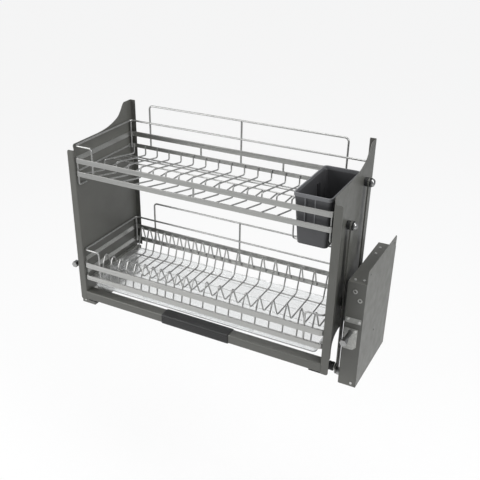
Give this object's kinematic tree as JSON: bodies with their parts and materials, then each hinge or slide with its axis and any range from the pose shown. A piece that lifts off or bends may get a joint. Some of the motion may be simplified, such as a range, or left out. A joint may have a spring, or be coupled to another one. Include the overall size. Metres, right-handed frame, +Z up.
{
  "type": "pull-down dish rack",
  "caption": "Wall cabinet dish rack whose two wire baskets swing down and forward on parallel arms from side units.",
  "frame": {"origin": "middle of the base of the whole part, at the level of the side units' lower edge", "axes": "+X to the right seen from the front, +Y to the back, +Z up"},
  "size_m": [0.8648, 0.3022, 0.5849],
  "materials": {
    "unit_paint": "satin grey powder coat",
    "grey_paint": "satin grey powder coat",
    "pale_plate": "pale satin",
    "zinc": "zinc plated",
    "bright_metal": "polished",
    "dark_plastic": "matt",
    "rubber": "matt",
    "grip": "fine matt",
    "cutlery_plastic": "smooth",
    "tray_plastic": "clear frosted",
    "wire_chrome": "bright",
    "rail_steel": "brushed"
  },
  "bodies": {
    "side_units": {"unit_shell_left": "unit_paint", "unit_shell_right": "unit_paint", "unit_inner_plate_left": "unit_paint", "unit_inner_plate_right": "unit_paint", "front_plate_left": "pale_plate", "front_plate_right": "pale_plate", "adjuster_bracket_left": "zinc", "adjuster_bracket_right": "zinc", "shaft_bushes": "zinc", "turning_dampers": "zinc", "unit_screws": "bright_metal", "unit_rings": "zinc"},
    "front_arm_left": {"front_arm_left": "grey_paint", "front_shaft_left": "bright_metal", "stop_bumper_left": "rubber", "stop_pin_left": "bright_metal"},
    "rear_arm_left": {"rear_arm_left": "grey_paint", "rear_shaft_left": "bright_metal"},
    "adjuster_left": {"adjuster_bolt_left": "bright_metal"},
    "tension_nut_left": {"tension_nut_left": "zinc"},
    "front_arm_right": {"front_arm_right": "grey_paint", "front_shaft_right": "bright_metal", "stop_bumper_right": "rubber", "stop_pin_right": "bright_metal"},
    "rear_arm_right": {"rear_arm_right": "grey_paint", "rear_shaft_right": "bright_metal"},
    "adjuster_right": {"adjuster_bolt_right": "bright_metal"},
    "tension_nut_right": {"tension_nut_right": "zinc"},
    "cutlery_box": {"cutlery_box": "cutlery_plastic"},
    "drip_tray": {"drip_tray": "tray_plastic"},
    "rack": {"bar_brackets": "grey_paint", "bar_feet": "rubber", "divider_wires_close": "wire_chrome", "divider_wires_wide": "wire_chrome", "guide_pads": "dark_plastic", "handle_bar": "rail_steel", "handle_grip": "grip", "lower_back_loop": "wire_chrome", "lower_front_rails": "rail_steel", "lower_long_wires": "wire_chrome", "lower_posts": "wire_chrome", "lower_rear_rails": "rail_steel", "lower_top_wire": "wire_chrome", "pivot_bushes": "dark_plastic", "pivot_rivets": "bright_metal", "side_hooks": "wire_chrome", "side_panel_left": "grey_paint", "side_panel_right": "grey_paint", "tray_runners": "grey_paint", "upper_back_loop": "wire_chrome", "upper_floor_wires": "wire_chrome", "upper_front_rail": "rail_steel", "upper_hoop": "rail_steel", "upper_long_wires": "wire_chrome", "upper_posts": "wire_chrome", "upper_rear_rail": "rail_steel", "upper_short_wires": "wire_chrome", "upper_side_wires": "wire_chrome", "upper_top_wire": "wire_chrome"}
  },
  "joints": [
    {"name": "front_arm_left_swing", "type": "hinge", "parent": "side_units", "child": "front_arm_left", "pos_m": [-0.371, -0.0496, 0.0104], "axis": [1, 0, 0], "range_deg": [0, 110]},
    {"name": "rack_level", "type": "hinge", "parent": "front_arm_left", "child": "rack", "pos_m": [-0.371, -0.0496, 0.4264], "axis": [1, 0, 0], "range_deg": [-110, 0]},
    {"name": "front_arm_right_swing", "type": "hinge", "parent": "side_units", "child": "front_arm_right", "pos_m": [0.371, -0.0496, 0.0104], "axis": [1, 0, 0], "range_deg": [0, 110]},
    {"name": "rear_arm_left_swing", "type": "hinge", "parent": "side_units", "child": "rear_arm_left", "pos_m": [-0.371, 0.0564, 0.0804], "axis": [1, 0, 0], "range_deg": [0, 110]},
    {"name": "rear_arm_right_swing", "type": "hinge", "parent": "side_units", "child": "rear_arm_right", "pos_m": [0.371, 0.0564, 0.0804], "axis": [1, 0, 0], "range_deg": [0, 110]},
    {"name": "adjuster_left_turn", "type": "hinge", "parent": "side_units", "child": "adjuster_left", "pos_m": [-0.405, -0.1086, 0.1594], "axis": [0, 1, 0], "range_deg": [0, 3600]},
    {"name": "tension_nut_left_travel", "type": "slide", "parent": "side_units", "child": "tension_nut_left", "axis": [0, 1, 0], "range_m": [0, 0.015]},
    {"name": "adjuster_right_turn", "type": "hinge", "parent": "side_units", "child": "adjuster_right", "pos_m": [0.405, -0.1086, 0.1594], "axis": [0, 1, 0], "range_deg": [0, 3600]},
    {"name": "tension_nut_right_travel", "type": "slide", "parent": "side_units", "child": "tension_nut_right", "axis": [0, 1, 0], "range_m": [0, 0.015]},
    {"name": "cutlery_box_lift", "type": "slide", "parent": "rack", "child": "cutlery_box", "axis": [0, 0, 1], "range_m": [0, 0.14]},
    {"name": "drip_tray_slide", "type": "slide", "parent": "rack", "child": "drip_tray", "axis": [0, -1, 0], "range_m": [0, 0.23]}
  ],
  "couplings": [
    {"joint": "rack_level", "follows": "front_arm_left_swing", "ratio": -1},
    {"joint": "front_arm_right_swing", "follows": "front_arm_left_swing", "ratio": 1},
    {"joint": "rear_arm_left_swing", "follows": "front_arm_left_swing", "ratio": 1},
    {"joint": "rear_arm_right_swing", "follows": "front_arm_left_swing", "ratio": 1},
    {"joint": "adjuster_left_turn", "follows": "tension_nut_left_travel", "rad_per_m": 4188.8},
    {"joint": "adjuster_right_turn", "follows": "tension_nut_right_travel", "rad_per_m": 4188.8}
  ]
}
